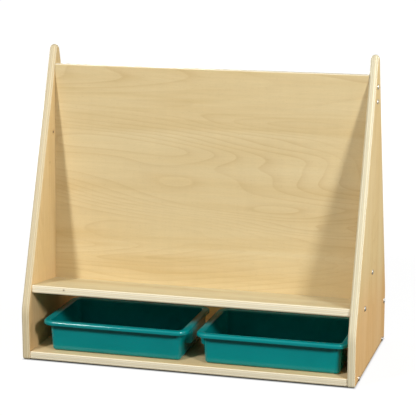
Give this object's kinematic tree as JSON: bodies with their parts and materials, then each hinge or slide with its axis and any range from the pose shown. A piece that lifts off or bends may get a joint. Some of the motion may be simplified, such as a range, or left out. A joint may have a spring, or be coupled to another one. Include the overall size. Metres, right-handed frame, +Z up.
{
  "type": "picture book browser bin",
  "caption": "Plywood book browser bin with A-shaped sides, a tilted display shelf in front of a leaning back panel, and loose plastic trays standing side by side on the bottom shelf.",
  "frame": {"origin": "on the floor, midway between the two sides and midway from front to back", "axes": "+X to the right seen from the front, +Y to the back, +Z up"},
  "size_m": [0.7682, 0.381, 0.69],
  "materials": {
    "birch_ply": "birch plywood with clear gloss lacquer, edges rounded over",
    "teal_plastic": "gloss, coloured through",
    "screw_steel": "bright plated, domed cross-drive head",
    "dowel_beech": "bare"
  },
  "bodies": {
    "stand": {"side_panel_left": "birch_ply", "side_panel_right": "birch_ply", "bottom_shelf": "birch_ply", "lower_back_panel": "birch_ply", "display_shelf": "birch_ply", "back_panel": "birch_ply", "screw_left_bottom_front": "screw_steel", "screw_left_bottom_rear": "screw_steel", "screw_left_display_shelf": "screw_steel", "screw_left_back_top": "screw_steel", "screw_left_back_upper": "screw_steel", "screw_left_back_low": "screw_steel", "screw_left_lower_back": "screw_steel", "screw_right_bottom_front": "screw_steel", "screw_right_bottom_rear": "screw_steel", "screw_right_display_shelf": "screw_steel", "screw_right_back_top": "screw_steel", "screw_right_back_upper": "screw_steel", "screw_right_back_low": "screw_steel", "screw_right_lower_back": "screw_steel", "screw_back_shelf_1": "screw_steel", "screw_back_shelf_2": "screw_steel", "screw_back_shelf_3": "screw_steel", "dowel_left_shelf_front": "dowel_beech", "dowel_left_shelf_rear": "dowel_beech", "dowel_left_lower_back_top": "dowel_beech", "dowel_left_lower_back_bottom": "dowel_beech", "dowel_right_shelf_front": "dowel_beech", "dowel_right_shelf_rear": "dowel_beech", "dowel_right_lower_back_top": "dowel_beech", "dowel_right_lower_back_bottom": "dowel_beech"},
    "left_tray": {"tray_left": "teal_plastic"},
    "right_tray": {"tray_right": "teal_plastic"}
  },
  "joints": [
    {"name": "tray_left_slide", "type": "slide", "parent": "stand", "child": "left_tray", "axis": [0, -1, 0], "range_m": [-0.12, 0.235]},
    {"name": "tray_right_slide", "type": "slide", "parent": "stand", "child": "right_tray", "axis": [0, -1, 0], "range_m": [-0.12, 0.235]}
  ]
}
